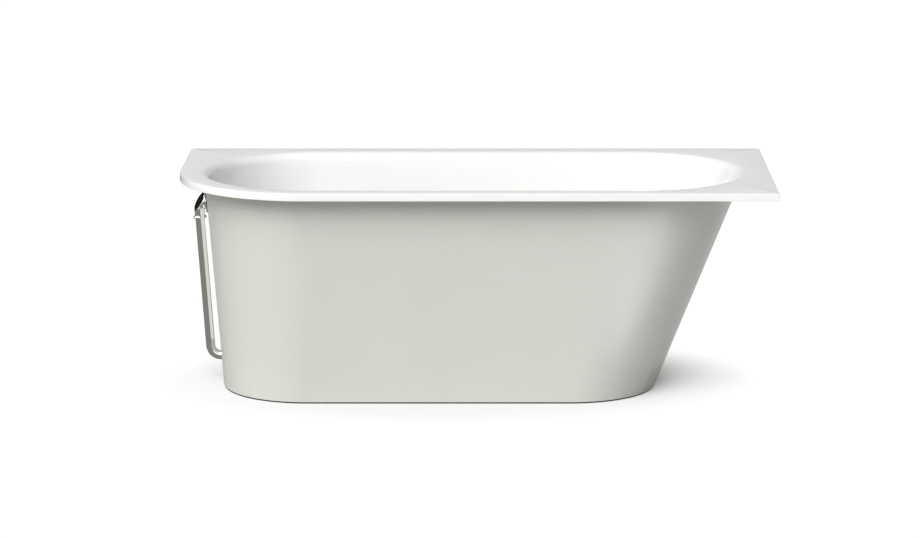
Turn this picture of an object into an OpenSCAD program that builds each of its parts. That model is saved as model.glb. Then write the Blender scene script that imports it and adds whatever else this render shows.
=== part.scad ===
// Built-in bath for a wall on its right and behind it: a D-shaped rim with one round front
// corner, an oval basin, a leaning skirt down to the floor and an exposed overflow pipe.
// It stands on the floor at z = 0, with the origin under the middle of the rim.
// +X runs along the wall to the sloping end, +Y goes back to the wall, +Z goes up. Millimetres.

/* [Rim] */
// Length of the rim along the wall
rim_l = 1700; // [1660:5:1760]
// Width of the rim from the wall to its front edge
rim_w = 750; // [730:5:790]
// Height of the rim's top above the floor
rim_h = 620; // [612:2:640]
// Height of the rim's turned-down face
lip_h = 22; // [18:1:28]
// Radius of the rim's one round corner
rim_corner_r = 375; // [330:5:400]
// Rounding of the rim's upper edge
rim_round = 1.5; // [1:0.25:2.5]
// Flat rim in front of the opening
rim_front = 44; // [40:1:52]
// Flat rim behind the opening
rim_back = 54; // [48:1:66]
// Flat rim at the opening's left end
rim_left = 60; // [54:1:70]
// Flat rim at the opening's right end
rim_right = 66; // [60:1:76]

/* [Basin] */
// Thickness of the reinforced shell
shell_t = 8; // [6:0.5:10]
// Radius of the edge round the opening
edge_r = 25; // [20:1:30]
// How much steeper the basin's left end leans in than the skirt, in degrees
lean_more_left = 0.9; // [0.6:0.1:2]
// How much more the basin's backrest leans in than the skirt, in degrees
lean_more_right = 1.5; // [1:0.1:3]
// How much more the basin's long sides lean in than the skirt, in degrees
lean_more_side = 2.75; // [2:0.25:4]
// Height of the curve from wall to floor
floor_curve_h = 80; // [70:2:90]
// Reach of that curve at the left end and along the sides
floor_curve_w = 80; // [70:2:90]
// Reach of that curve under the backrest
floor_curve_right = 120; // [100:5:150]
// Fall of the floor towards the drain, in millimetres per metre
floor_fall = 6; // [3:1:8]

/* [Skirt] */
// Thickness of the skirt panel
skirt_t = 4; // [3:0.5:5]
// Lean of the skirt's left side, in degrees
lean_left = 4.8; // [4:0.2:5.6]
// Lean of the skirt's right side, in degrees
lean_right = 22.3; // [20:0.3:24]
// Lean of the skirt's front, in degrees
lean_front = 1.85; // [1.4:0.05:2.6]
// Gap between basin and skirt at the left, at the level of the rim
gap_left = 2.9; // [2.4:0.1:5]
// Gap between basin and skirt at the right, at the level of the rim
gap_right = 5; // [4:0.5:9]
// Gap between basin and skirt at the front, at the level of the rim
gap_front = 0.7; // [0.7:0.1:2]
// How much smaller the skirt's corner is than the opening's round end, at the rim's level
skirt_r_less = 16; // [14:1:22]
// Corner radius of the skirt at the floor
skirt_r_foot = 250; // [240:2:262]
// How far the skirt reaches up behind the rim's face
skirt_tuck = 2; // [1:0.5:3]
// Gap between the skirt's back edges and the wall
skirt_wall_gap = 3; // [2:1:6]
// Height of the bond between skirt and basin
bond_h = 22; // [16:1:30]
// Depth of the bond's upper edge below the rim
bond_drop = 28; // [27:1:34]
// Height of the dark strip under the skirt
seal_h = 4; // [3:0.5:6]
// How far the strip is set back from the skirt's face
seal_setback = 2; // [1:0.5:3]
// Width of the strip
seal_w = 9; // [7:1:14]

/* [Undercarriage] */
// Thickness of the board under the basin
board_t = 15; // [12:1:18]
// Distance of the board's edge from the edge of the flat floor
board_margin = 15; // [10:1:25]
// Distance of the left leg rail from the drain
rail_from_drain = 140; // [110:5:180]
// Distance of the right leg rail from the board's right end
rail_from_end = 138; // [120:2:160]
// Width of a leg rail
rail_w = 40; // [34:1:50]
// Height of a leg rail
rail_hgt = 25; // [20:1:30]
// Thickness of a leg rail's steel
rail_t = 2.5; // [2:0.25:3]
// Distance of a leg rail's front end from the skirt
rail_gap = 32; // [26:1:36]
// Distance of a foot from the end of its rail
foot_from_end = 47; // [44:1:54]
// Radius of a foot's threaded stem
stem_r = 5; // [4:0.5:6]
// How far a stem stands up out of its rail
stem_rise = 8; // [6:1:9]
// Radius of a foot's pad
pad_r = 25; // [20:1:30]
// Height of a foot's pad
pad_h = 12; // [10:1:16]
// Thickness of the nuts that are welded to the rails
foot_nut_h = 8; // [6:1:10]
// Thickness of the lock nuts
lock_nut_h = 5; // [4:0.5:7]
// Width of the brackets between rails and skirt
bracket_w = 36; // [30:1:44]
// Thickness of a bracket
bracket_t = 3; // [2:0.5:4]
// Height of a bracket's leg on the skirt
bracket_h = 42; // [30:2:60]
// Radius of the screws from rail to board
screw_r = 2.5; // [2:0.25:3]
// Radius of the bolts from bracket to rail
bolt_r = 3; // [2.5:0.5:4]

/* [Wall side] */
// Width of a wall clip
clip_w = 40; // [30:2:60]
// Thickness of a wall clip
clip_t = 3; // [2:0.5:4]
// Height of a clip's plate on the wall
clip_h = 55; // [45:1:70]
// Reach of a clip from the wall to behind the rim's face
clip_reach = 18; // [16:1:20]
// Distance of the two back clips from the middle of the bath
clip_x = 430; // [300:10:520]
// Distance of the right clip behind the basin's middle
clip_y = 120; // [60:5:200]
// Distance between a clip's two screw holes
clip_hole_gap = 24; // [18:1:26]
// Radius of a clip's screw holes
clip_hole_r = 2.75; // [2:0.25:3.5]
// Thickness of the battens under the rim
batten_t = 15; // [12:1:18]
// Width of the back batten
batten_w = 26; // [20:1:28]
// Length of the back batten
batten_back_l = 1180; // [1000:10:1200]
// Length of the right batten
batten_right_l = 560; // [460:10:580]

/* [Drain] */
// Distance of the drain from the opening's left end
drain_from_left = 250; // [235:1:270]
// Radius of the chrome flange in the floor
flange_r = 35; // [33:0.5:38]
// Depth of the seat that is sunk in the floor for the flange
seat_depth = 3; // [2:0.5:4]
// Thickness of the flange
flange_t = 2.5; // [2:0.25:3]
// Radius of the flange's threaded tail
tail_r = 23.5; // [22:0.5:24.5]
// Wall of that tail
tail_wall = 2.5; // [2:0.25:3]
// Radius of the hole in the basin's floor
drain_hole_r = 26; // [25.5:0.5:28]
// Thickness of the washer under the flange
washer_t = 1.5; // [1:0.25:2]
// Thickness of the gasket under the floor
gasket_t = 3; // [2:0.5:4]
// Radius of the plug's cap
plug_r = 30; // [28:0.5:32]
// Thickness of the plug's cap
plug_t = 4; // [3:0.5:5]
// How far the plug rises
plug_lift = 8; // [6:1:10]
// Radius of the plug's stem
plug_stem_r = 4; // [3:0.5:5]

/* [Trap] */
// Outer radius of the waste pipes
waste_r = 20; // [18:0.5:21]
// Wall of the waste pipes
waste_wall = 2.5; // [2:0.25:3]
// Bend radius of the trap, to the middle of the pipe
trap_bend_r = 29; // [26:1:30]
// Clearance of the trap above the floor
trap_floor_gap = 6; // [4:1:6]
// Length of the sockets that the pipes slide into
socket_l = 22; // [18:1:24]
// Free height between the nut on the trap and the drain's cone, which sets the basin's depth
neck_gap = 9; // [6:1:20]
// Wall of the sockets
socket_wall = 4; // [3:0.5:5]

/* [Overflow] */
// Depth of the overflow's middle below the rim
overflow_drop = 87; // [80:1:92]
// Radius of the overflow's threaded tail
throat_r = 20; // [18:0.5:21]
// Radius of the flange on the skirt and of the cover in the basin
cover_r = 35; // [33:0.5:37]
// Radius of the elbow's hood
hood_r = 26; // [25:0.5:28]
// Distance of the pipe's middle from the skirt, at the elbow
pipe_standoff = 25.6; // [24:0.2:28]
// How much steeper than the skirt the pipe stands, in degrees
pipe_toe = 1.05; // [0.7:0.05:1.4]
// Radius of the overflow pipe
pipe_r = 13.5; // [12:0.25:14]
// Wall of the overflow pipe
pipe_wall = 1.5; // [1:0.25:2]
// Distance of the union ring below the middle of the elbow
ring_drop = 47; // [42:1:54]
// Radius of the union ring
ring_r = 19; // [18:0.5:20]
// Height of the union ring
ring_h = 9; // [7:0.5:11]
// Bend radius at the pipe's foot, to the middle of the pipe
pipe_bend_r = 30; // [28:1:34]
// Height of the pipe's horizontal run above the floor
run_z = 74.5; // [74:0.5:78]

/* [Hidden] */

// Play of a sliding or pushed-in fit, in radius, and the small gap at a soft seat
fit = 0.05;
seat_gap = 0.3;
// How far a cutting shape runs past what it cuts
over = 1;
// Steps in a quarter of every round of the rim, basin and skirt, and in their curved profiles
quarter = 16;
edge_steps = 5;
wall_steps = 2;
curve_steps = 7;
// Sides of the swept overflow pipe, and steps in its bend
pipe_sides = 32;
bend_steps = 10;
$fn = 64;

acrylic = [0.93, 0.93, 0.92];
sage = [0.74, 0.78, 0.73];
chrome = [0.80, 0.81, 0.82];
dark_rubber = [0.16, 0.17, 0.17];
zinc = [0.66, 0.68, 0.70];
plastic = [0.90, 0.90, 0.88];
board_brown = [0.72, 0.60, 0.44];

// The opening: a stadium whose ends are half circles of open_r
open_r = (rim_w - rim_front - rim_back) / 2;
basin_y = (rim_front - rim_back) / 2;
left_x = -rim_l / 2 + rim_left;
right_x = rim_l / 2 - rim_right;
slope_left = tan(lean_left + lean_more_left);
slope_right = tan(lean_right + lean_more_right);
slope_side = tan(lean_front + lean_more_side);

// Outer radius of the trap's side inlet, which the overflow pipe slides into
pipe_socket_r = pipe_r + socket_wall;

// From the trap's neck up to the basin's floor: socket, slip nut, free height, cone and tail
trap_socket_z = run_z + pipe_socket_r + 2;
waste_end = trap_socket_z + 4;
neck_end = waste_end + socket_l;
slip_seal_t = 4;
slip_lid = 4;
body_cone_h = 8;
trap_neck_top = neck_end + slip_seal_t + slip_lid + neck_gap;
body_end = trap_neck_top + body_cone_h;
tail_end = body_end + 3;
tail_reach = 26;
under_z = tail_end + tail_reach + gasket_t;

// Levels of the basin, of its overflow and of what hangs under it
overflow_z = rim_h - overflow_drop;
floor_z = under_z + shell_t;
basin_depth = rim_h - floor_z;
board_z = under_z - board_t;
drain_x = left_x + drain_from_left;
seat_z = floor_z - seat_depth;
skirt_top = rim_h - lip_h + skirt_tuck;
skirt_r_top = open_r - skirt_r_less;

// The flat underside of the basin: its end points and half width
under_inset = slope_side * (basin_depth + shell_t);
under_r = open_r - edge_r - floor_curve_w - under_inset;
under_left = left_x + edge_r + floor_curve_w + slope_left * (basin_depth + shell_t);
under_right = right_x - edge_r - floor_curve_right - slope_right * (basin_depth + shell_t);

// Plan of the skirt at height z, measured to its outer face
function skirt_left(z) = left_x + edge_r - shell_t - gap_left - skirt_t
    + tan(lean_left) * (rim_h - z);
function skirt_right(z) = right_x - edge_r + shell_t + gap_right + skirt_t
    - tan(lean_right) * (rim_h - z);
function skirt_front(z) = -rim_w / 2 + rim_front + edge_r - shell_t - gap_front - skirt_t
    + tan(lean_front) * (rim_h - z);
function skirt_r(z) = skirt_r_foot + (skirt_r_top - skirt_r_foot) * z / rim_h;
skirt_back = rim_w / 2 - skirt_wall_gap;

// One line round the skirt at height z, off inside its outer face, from the left end of the
// front corners to the right one. With sides it starts and ends at the wall.
function skirt_line(z, off, sides) = let (
        r = skirt_r(z), y = skirt_front(z) + r,
        xl = skirt_left(z) + r, xr = skirt_right(z) - r)
    concat(
        sides ? [[skirt_left(z) + off, skirt_back, z]] : [],
        [for (i = [0:quarter]) let (a = 180 + 90 * i / quarter)
            [xl + (r - off) * cos(a), y + (r - off) * sin(a), z]],
        [for (i = [0:quarter]) let (a = 270 + 90 * i / quarter)
            [xr + (r - off) * cos(a), y + (r - off) * sin(a), z]],
        sides ? [[skirt_right(z) - off, skirt_back, z]] : []);

// The basin's section: how far in it stands at depth d, with e from the curves
function stadium(d, e_side, e_left, e_right, fall) = let (
        r = open_r - e_side - slope_side * d,
        xl = left_x + e_left + slope_left * d + r,
        xr = right_x - e_right - slope_right * d - r)
    [for (i = [0:4 * quarter + 1]) let (
            right = i <= 2 * quarter,
            a = right ? -90 + 90 * i / quarter : 90 + 90 * (i - 2 * quarter - 1) / quarter,
            x = (right ? xr : xl) + r * cos(a))
        [x, basin_y + r * sin(a), rim_h - d * (1 - fall * (x - drain_x) / basin_depth)]];
function edge_line(t, off, fall) = let (
        d = edge_r - (edge_r - off) * cos(t), e = (edge_r - off) * sin(t))
    stadium(d, e, e, e, fall);
function wall_line(d, off, fall) = let (e = edge_r - off) stadium(d, e, e, e, fall);
function curve_line(t, off, fall) = let (
        d = basin_depth - floor_curve_h + (floor_curve_h + off) * sin(t),
        e = edge_r + floor_curve_w - (floor_curve_w + off) * cos(t),
        e_right = edge_r + floor_curve_right - (floor_curve_right + off) * cos(t))
    stadium(d, e, e, e_right, fall);

// The rim's outline at height z, off inside it, with as many points as the stadium
corner_x = -rim_l / 2 + rim_corner_r;
corner_y = -rim_w / 2 + rim_corner_r;
function rim_point(i, off) = let (
        right = i <= 2 * quarter,
        a = right ? -90 + 90 * i / quarter : 90 + 90 * (i - 2 * quarter - 1) / quarter,
        ex = rim_l / 2 - off, ey = rim_w / 2 - off,
        xr = right_x - open_r, xl = left_x + open_r)
    a <= -45 ? [xr + (ex - xr) * (a + 90) / 45, -ey] :
    a <= 45 ? [ex, ey * a / 45] :
    right ? [ex - (ex - xr) * (a - 45) / 45, ey] :
    a <= 135 ? [xl - (ex + xl) * (a - 90) / 45, ey] :
    a <= 180 ? [-ex, ey + (corner_y - ey) * (a - 135) / 45] :
    [corner_x + (rim_corner_r - off) * cos(a), corner_y + (rim_corner_r - off) * sin(a)];
function rim_line(z, off) = [for (i = [0:4 * quarter + 1])
    let (p = rim_point(i, off)) [p[0], p[1], z]];

// Every line of the basin shell, from the middle of its floor over the rim to its underside
function inner_lines(off, fall) = concat(
    [for (i = [curve_steps:-1:0]) curve_line(90 * i / curve_steps, off, fall)],
    [for (i = [wall_steps:-1:1]) wall_line(edge_r
        + (basin_depth - floor_curve_h - edge_r) * i / (wall_steps + 1), off, fall)],
    [for (i = [edge_steps:-1:0]) edge_line(90 * i / edge_steps, off, fall)]);
function reversed(list) = [for (i = [len(list) - 1:-1:0]) list[i]];
shell_lines = concat(
    inner_lines(0, floor_fall / 1000),
    [rim_line(rim_h, rim_round), rim_line(rim_h - rim_round, 0), rim_line(rim_h - lip_h, 0),
        rim_line(rim_h - lip_h, shell_t), rim_line(rim_h - shell_t, shell_t)],
    reversed(inner_lines(shell_t, 0)));

// A closed skin over lines of equal length, with a fan at its first and last line
module skin(lines) {
    n = len(lines[0]);
    m = len(lines);
    points = concat([for (l = lines) each l],
        [for (l = [lines[0], lines[m - 1]]) [for (k = [0:2]) [for (p = l) p[k]]
            * [for (p = l) 1] / n]]);
    polyhedron(points, concat(
        [for (j = [0:m - 2], i = [0:n - 1]) let (a = j * n + i, b = j * n + (i + 1) % n)
            each [[a, b, b + n], [a, b + n, a + n]]],
        [for (i = [0:n - 1]) [m * n, (i + 1) % n, i]],
        [for (i = [0:n - 1]) [m * n + 1, (m - 1) * n + i, (m - 1) * n + (i + 1) % n]]));
}

// A band between four open lines of equal length, given in order round its section
module band(lines) {
    n = len(lines[0]);
    polyhedron([for (l = lines) each l], concat(
        [for (j = [0:3], i = [0:n - 2]) let (a = j * n + i, b = ((j + 1) % 4) * n + i)
            each [[a, b + 1, b], [a, a + 1, b + 1]]],
        [[0, n, 2 * n], [0, 2 * n, 3 * n],
            [n - 1, 3 * n - 1, 2 * n - 1], [n - 1, 4 * n - 1, 3 * n - 1]]));
}
module skirt_band(z0, z1, off0, off1) band([skirt_line(z0, off0, true),
    skirt_line(z1, off0, true), skirt_line(z1, off1, true), skirt_line(z0, off1, true)]);

// The overflow's own axes: local z points out of the skirt, local x up along the pipe
pipe_lean = lean_left - pipe_toe;
module at_overflow() translate([skirt_left(overflow_z), basin_y, overflow_z])
    rotate([0, -90 - pipe_lean, 0]) children();
module ring(r_out, r_in, h) difference() {
    cylinder(h = h, r = r_out);
    translate([0, 0, -over]) cylinder(h = h + 2 * over, r = r_in);
}

// How far off the overflow's parts stand from the skirt's face, along the overflow's axis
wall_wedge = cover_r * tan(lean_more_left + pipe_toe);
shell_face = -(gap_left + skirt_t + shell_t
    + (slope_left - tan(lean_left)) * (rim_h - overflow_z)) * cos(pipe_lean);
cover_seat = shell_face + wall_wedge + seat_gap;
cover_gasket_t = 2;
cover_t = 5;
cover_back = cover_seat - cover_gasket_t;
cover_face = cover_back - cover_t;
backing_face = cover_r * tan(pipe_toe) + 0.5;
backing_reach = 4;
elbow_flange_t = 5;
elbow_face = backing_face + elbow_flange_t;
overflow_hole_r = throat_r + 2;

module drain_cuts() translate([drain_x, basin_y, 0]) {
    translate([0, 0, seat_z]) cylinder(h = 2 * seat_depth, r = flange_r + over);
    translate([0, 0, under_z - over]) cylinder(h = shell_t + over, r = drain_hole_r);
}
module basin_shell() color(acrylic) difference() {
    skin(shell_lines);
    drain_cuts();
    at_overflow() {
        translate([0, 0, cover_seat - shell_t - cover_t]) cylinder(h = shell_t + cover_t,
            r = cover_r + over);
        translate([0, 0, cover_seat - over]) cylinder(h = 3 * shell_t, r = overflow_hole_r);
    }
}

// The skirt's back corners are notched round the rim's face at the wall
notch_gap = 2;
module skirt_panel() color(sage) difference() {
    skirt_band(seal_h, skirt_top, 0, skirt_t);
    at_overflow() translate([0, 0, -3 * skirt_t]) cylinder(h = 6 * skirt_t,
        r = overflow_hole_r);
    sleeve_bore(sleeve_r);
    translate([-rim_l / 2, rim_w / 2 - shell_t - notch_gap, rim_h - lip_h - notch_gap])
        cube([rim_l, shell_t + notch_gap, lip_h]);
}

// The bond fills the gap between the skirt and the basin's wall. The basin's points come in
// the skirt's order, from the left end over the front to the right end.
bond_top = rim_h - bond_drop;
bond_foot = bond_top - bond_h;
function basin_part(z) = let (
        line = wall_line(rim_h - z, shell_t + seat_gap, 0), half = 2 * quarter + 1)
    concat([for (i = [half + quarter:2 * half - 1]) line[i]], [for (i = [0:quarter]) line[i]]);
module bond_bead() color(plastic)
    band([skirt_line(bond_foot, skirt_t, false), skirt_line(bond_top, skirt_t, false),
        basin_part(bond_top), basin_part(bond_foot)]);

module base_seal() color(dark_rubber) band([
    skirt_line(0, seal_setback, true), skirt_line(seal_h, seal_setback, true),
    skirt_line(seal_h, seal_setback + seal_w, true),
    skirt_line(0, seal_setback + seal_w, true)]);

// The battens are glued under the flat rim, between its face and the opening
batten_gap = 3;
module rim_batten_back() color(board_brown)
    translate([-batten_back_l / 2, rim_w / 2 - rim_back + batten_gap,
        rim_h - shell_t - batten_t])
        cube([batten_back_l, batten_w, batten_t]);
module rim_batten_right() color(board_brown)
    translate([right_x + batten_gap, basin_y - batten_right_l / 2, rim_h - shell_t - batten_t])
        cube([batten_w, batten_right_l, batten_t]);

// The board fills the flat underside and leaves room round the drain
board_r = under_r - board_margin;
board_left = under_left + under_r;
board_right = under_right - under_r;
board_hole_r = flange_r + 14;
rail_x = [drain_x + rail_from_drain, board_right + board_r - rail_from_end];
rail_top = board_z;
rail_front = skirt_front(rail_top - rail_hgt) + skirt_t + rail_gap;
rail_back = 2 * basin_y - rail_front;
screw_y = [for (s = [-1, -0.35, 0.35, 1]) basin_y + s * (board_r - 45)];
screw_bite = 11;
module base_board() color(board_brown) difference() {
    translate([0, basin_y, board_z]) linear_extrude(board_t) difference() {
        union() {
            translate([board_left, 0]) circle(board_r);
            translate([board_right, 0]) circle(board_r);
            translate([board_left, -board_r]) square([board_right - board_left, 2 * board_r]);
        }
        translate([drain_x, 0]) circle(board_hole_r);
    }
    for (x = rail_x, y = screw_y) translate([x, y, board_z - over])
        cylinder(h = screw_bite + over, r = screw_r + fit);
}

bolt_y = rail_front + 16;
module leg_rail(x) color(zinc) difference() {
    translate([x, rail_back, rail_top]) rotate([90, 0, 0])
        linear_extrude(rail_back - rail_front) difference() {
            translate([-rail_w / 2, -rail_hgt]) square([rail_w, rail_hgt]);
            translate([-rail_w / 2 + rail_t, -rail_hgt - over])
                square([rail_w - 2 * rail_t, rail_hgt - rail_t + over]);
        }
    for (y = foot_y) translate([x, y, rail_top - rail_t - over])
        cylinder(h = rail_t + 2 * over, r = stem_r + 0.5);
    for (y = screw_y) translate([x, y, rail_top - rail_t - over])
        cylinder(h = rail_t + 2 * over, r = screw_r + fit);
    translate([x, bolt_y, rail_top - rail_t - over])
        cylinder(h = rail_t + 2 * over, r = bolt_r + fit);
}
module rail_screws() color(zinc) for (x = rail_x, y = screw_y)
    translate([x, y, rail_top - rail_t]) {
        cylinder(h = screw_bite - over + rail_t, r = screw_r);
        translate([0, 0, -3]) cylinder(h = 3, r = 2 * screw_r);
    }

// Feet: a welded nut and a lock nut under the rail's web, a threaded stem and its pad
foot_y = [rail_front + foot_from_end, rail_back - foot_from_end];
foot_nut_z = rail_top - rail_t - foot_nut_h;
lock_nut_z = foot_nut_z - lock_nut_h;
module hex_nut(h, r) difference() {
    cylinder(h = h, r = 1.95 * r, $fn = 6);
    translate([0, 0, -over]) cylinder(h = h + 2 * over, r = r + fit);
}
module foot_nuts() color(zinc) for (x = rail_x, y = foot_y) translate([x, y, foot_nut_z])
    hex_nut(foot_nut_h, stem_r);
module lock_nuts() color(zinc) for (x = rail_x, y = foot_y) translate([x, y, lock_nut_z])
    hex_nut(lock_nut_h, stem_r);
socket_floor = pad_h / 2;
stem_hex_h = 6;
module foot_stem(x, y) color(zinc) translate([x, y, 0]) {
    translate([0, 0, socket_floor]) cylinder(h = rail_top + stem_rise - socket_floor,
        r = stem_r);
    translate([0, 0, pad_h]) cylinder(h = stem_hex_h, r = 1.7 * stem_r, $fn = 6);
}
module foot_pad(x, y) color(dark_rubber) translate([x, y, 0]) rotate_extrude()
    polygon([[0, 0], [pad_r, 0], [pad_r, 0.45 * pad_h], [pad_r - 3, 0.6 * pad_h],
        [2.4 * stem_r, pad_h], [stem_r + fit, pad_h], [stem_r + fit, socket_floor],
        [0, socket_floor]]);

// A bracket lies on the rail's front end and stands flat against the inside of the skirt
bracket_top = rail_top + bracket_t;
bracket_foot = bracket_top - bracket_h;
bracket_end = bolt_y + 12;
function skirt_inside(z) = skirt_front(z) + skirt_t;
module skirt_bracket(x) color(zinc) difference() {
    translate([x, 0, 0]) rotate([90, 0, 90]) linear_extrude(bracket_w, center = true)
        polygon([[skirt_inside(bracket_foot), bracket_foot],
            [skirt_inside(bracket_top), bracket_top], [bracket_end, bracket_top],
            [bracket_end, rail_top], [skirt_inside(rail_top) + bracket_t, rail_top],
            [skirt_inside(bracket_foot) + bracket_t, bracket_foot]]);
    translate([x, bolt_y, rail_top - over]) cylinder(h = bracket_t + 2 * over,
        r = bolt_r + fit);
}
bolt_head_h = 4;
bracket_nut_h = 5;
module bracket_bolts() color(zinc) for (x = rail_x) translate([x, bolt_y, 0]) {
    translate([0, 0, rail_top - rail_t - bracket_nut_h - 3])
        cylinder(h = rail_t + bracket_nut_h + 3 + bracket_t, r = bolt_r);
    translate([0, 0, rail_top + bracket_t]) cylinder(h = bolt_head_h, r = 1.9 * bolt_r,
        $fn = 6);
}
module bracket_nuts() color(zinc) for (x = rail_x)
    translate([x, bolt_y, rail_top - rail_t - bracket_nut_h]) hex_nut(bracket_nut_h, bolt_r);

// A wall clip hooks up behind the rim's face. Its profile runs from the wall at y = 0.
clip_top = rim_h - lip_h - seat_gap;
hook_top = rim_h - shell_t - seat_gap;
module wall_clip() color(zinc) difference() {
    rotate([90, 0, 90]) linear_extrude(clip_w, center = true)
        polygon([[0, clip_top], [0, clip_top - clip_h], [-clip_t, clip_top - clip_h],
            [-clip_t, clip_top - clip_t], [-clip_reach, clip_top - clip_t], [-clip_reach, hook_top],
            [-clip_reach + clip_t, hook_top], [-clip_reach + clip_t, clip_top]]);
    for (s = [-1, 1]) translate([s * clip_hole_gap / 2, over, clip_top - clip_h / 2])
        rotate([90, 0, 0]) cylinder(h = clip_t + 2 * over, r = clip_hole_r);
}
module wall_clip_back(x) translate([x, rim_w / 2, 0]) wall_clip();
module wall_clip_right() translate([rim_l / 2, basin_y + clip_y, 0]) rotate([0, 0, -90])
    wall_clip();

// Drain: flange and tail from above, gasket and waste body from below, all on one axis
washer_z = seat_z;
flange_z = washer_z + washer_t;
tail_in = tail_r - tail_wall;
collar_r = flange_r + 1;
collar_t = 5;
collar_z = under_z - gasket_t;
module at_drain() translate([drain_x, basin_y, 0]) children();
module drain_flange() color(chrome) at_drain() rotate_extrude()
    polygon([[tail_in, tail_end], [tail_r, tail_end], [tail_r, flange_z],
        [flange_r, flange_z], [flange_r, flange_z + 0.5 * flange_t],
        [flange_r - 1.5, flange_z + flange_t], [tail_in + 2, flange_z + flange_t],
        [tail_in, flange_z + flange_t - 2]]);
module drain_washer() color(dark_rubber) at_drain() translate([0, 0, washer_z])
    ring(flange_r - 2, tail_r + fit, washer_t);
module drain_gasket() color(dark_rubber) at_drain() translate([0, 0, collar_z])
    ring(collar_r - 1, tail_r + fit, gasket_t);
trap_leg_z = trap_floor_gap + waste_r + trap_bend_r;
waste_bore = waste_r - waste_wall;
module waste_body() color(plastic) at_drain() rotate_extrude()
    polygon([[waste_bore, waste_end], [waste_r, waste_end], [waste_r, trap_neck_top],
        [tail_r + 4, body_end], [tail_r + 4, collar_z - collar_t],
        [collar_r, collar_z - collar_t], [collar_r, collar_z], [tail_r + fit, collar_z],
        [tail_r + fit, tail_end], [waste_bore, tail_end]]);

// The plug's stem slides in a cartridge that three spokes hold in the flange's tail
plug_seal_t = 1;
plug_z = flange_z + flange_t + seat_gap + plug_seal_t;
cartridge_top = flange_z - 6;
stem_guide = 18;
cartridge_h = stem_guide + plug_lift;
cartridge_r = 9;
module plug_cartridge() color(plastic) at_drain() translate([0, 0, cartridge_top - cartridge_h])
    difference() {
        union() {
            cylinder(h = cartridge_h, r = cartridge_r);
            intersection() {
                for (a = [0, 120, 240]) rotate([0, 0, a]) translate([0, -1.5, 0])
                    cube([2 * tail_r, 3, cartridge_h / 2]);
                cylinder(h = cartridge_h, r = tail_in - fit);
            }
        }
        translate([0, 0, -over]) cylinder(h = cartridge_h + 2 * over, r = plug_stem_r + fit);
    }
module plug_cap() color(chrome) at_drain() translate([0, 0, plug_z]) rotate_extrude()
    polygon([[0, 0], [plug_r - 0.5, 0], [plug_r, 0.5], [plug_r, plug_t - 1.5],
        [plug_r - 1.5, plug_t - 0.3], [0.5 * plug_r, plug_t], [0, plug_t]]);
module plug_stem() color(chrome) at_drain()
    translate([0, 0, cartridge_top - cartridge_h + 2])
        cylinder(h = plug_z - cartridge_top + cartridge_h - 2, r = plug_stem_r);
module plug_seal() color(dark_rubber) at_drain() translate([0, 0, plug_z - plug_seal_t])
    ring(plug_r - 2, plug_stem_r + fit, plug_seal_t);

// A slip nut holds a pipe of radius r in a socket that ends at z = 0 and opens towards +z.
// Its seal lies on the socket's end.
slip_skirt = 13;
slip_grip = 5.5;
module slip_nut(r) difference() {
    union() {
        translate([0, 0, -slip_skirt]) cylinder(h = slip_skirt + slip_seal_t,
            r = r + socket_wall + slip_grip, $fn = 12);
        cylinder(h = slip_seal_t + slip_lid, r = r + socket_wall + 0.5 * slip_grip);
    }
    translate([0, 0, -slip_skirt - over]) cylinder(h = slip_skirt + slip_seal_t + over,
        r = r + socket_wall + fit);
    cylinder(h = 2 * slip_skirt, r = r + fit);
}
module slip_seal(r) ring(r + socket_wall - 0.2, r + fit, slip_seal_t);

// The trap: a neck with the overflow's side inlet, a bend down and up, and an outlet socket
// that takes the house's waste pipe
trap_out_y = basin_y + 3 * trap_bend_r;
trap_out_z = trap_leg_z + trap_bend_r;
inlet_end = drain_x - waste_r - socket_l - 8;
outlet_start = trap_out_y + 6;
outlet_end = outlet_start + socket_l;
module trap_run(r) {
    at_drain() translate([0, 0, trap_leg_z]) cylinder(h = waste_end - trap_leg_z, r = r);
    translate([drain_x, basin_y + trap_bend_r, trap_leg_z]) rotate([90, 0, 90])
        rotate([0, 0, 180]) rotate_extrude(angle = 180)
            translate([trap_bend_r, 0]) circle(r);
    translate([drain_x, trap_out_y, trap_leg_z]) rotate([90, 0, 90])
        rotate([0, 0, 90]) rotate_extrude(angle = 90)
            translate([trap_bend_r, 0]) circle(r);
    translate([drain_x, trap_out_y, trap_out_z]) rotate([-90, 0, 0])
        cylinder(h = outlet_start - trap_out_y, r = r);
}
module trap_body() color(plastic) difference() {
    union() {
        trap_run(waste_r);
        at_drain() translate([0, 0, trap_socket_z]) cylinder(h = neck_end - trap_socket_z,
            r = waste_r + socket_wall);
        translate([inlet_end, basin_y, run_z]) rotate([0, 90, 0])
            cylinder(h = drain_x - inlet_end, r = pipe_socket_r);
        translate([drain_x, outlet_start - 4, trap_out_z]) rotate([-90, 0, 0])
            cylinder(h = outlet_end - outlet_start + 4, r = waste_r + socket_wall);
    }
    trap_run(waste_bore);
    at_drain() translate([0, 0, waste_end]) cylinder(h = socket_l + over, r = waste_r + fit);
    translate([inlet_end - over, basin_y, run_z]) rotate([0, 90, 0])
        cylinder(h = socket_l + over, r = pipe_r + fit);
    translate([inlet_end, basin_y, run_z]) rotate([0, 90, 0])
        cylinder(h = drain_x - inlet_end, r = pipe_r - pipe_wall);
    translate([drain_x, outlet_start, trap_out_z]) rotate([-90, 0, 0])
        cylinder(h = socket_l + over, r = waste_r + fit);
}
module at_neck() translate([drain_x, basin_y, neck_end]) children();
module at_inlet() translate([inlet_end, basin_y, run_z]) rotate([0, -90, 0]) children();
module at_outlet() translate([drain_x, outlet_end, trap_out_z]) rotate([-90, 0, 0]) children();
module trap_nut() color(plastic) at_neck() slip_nut(waste_r);
module trap_seal() color(dark_rubber) at_neck() slip_seal(waste_r);
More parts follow.
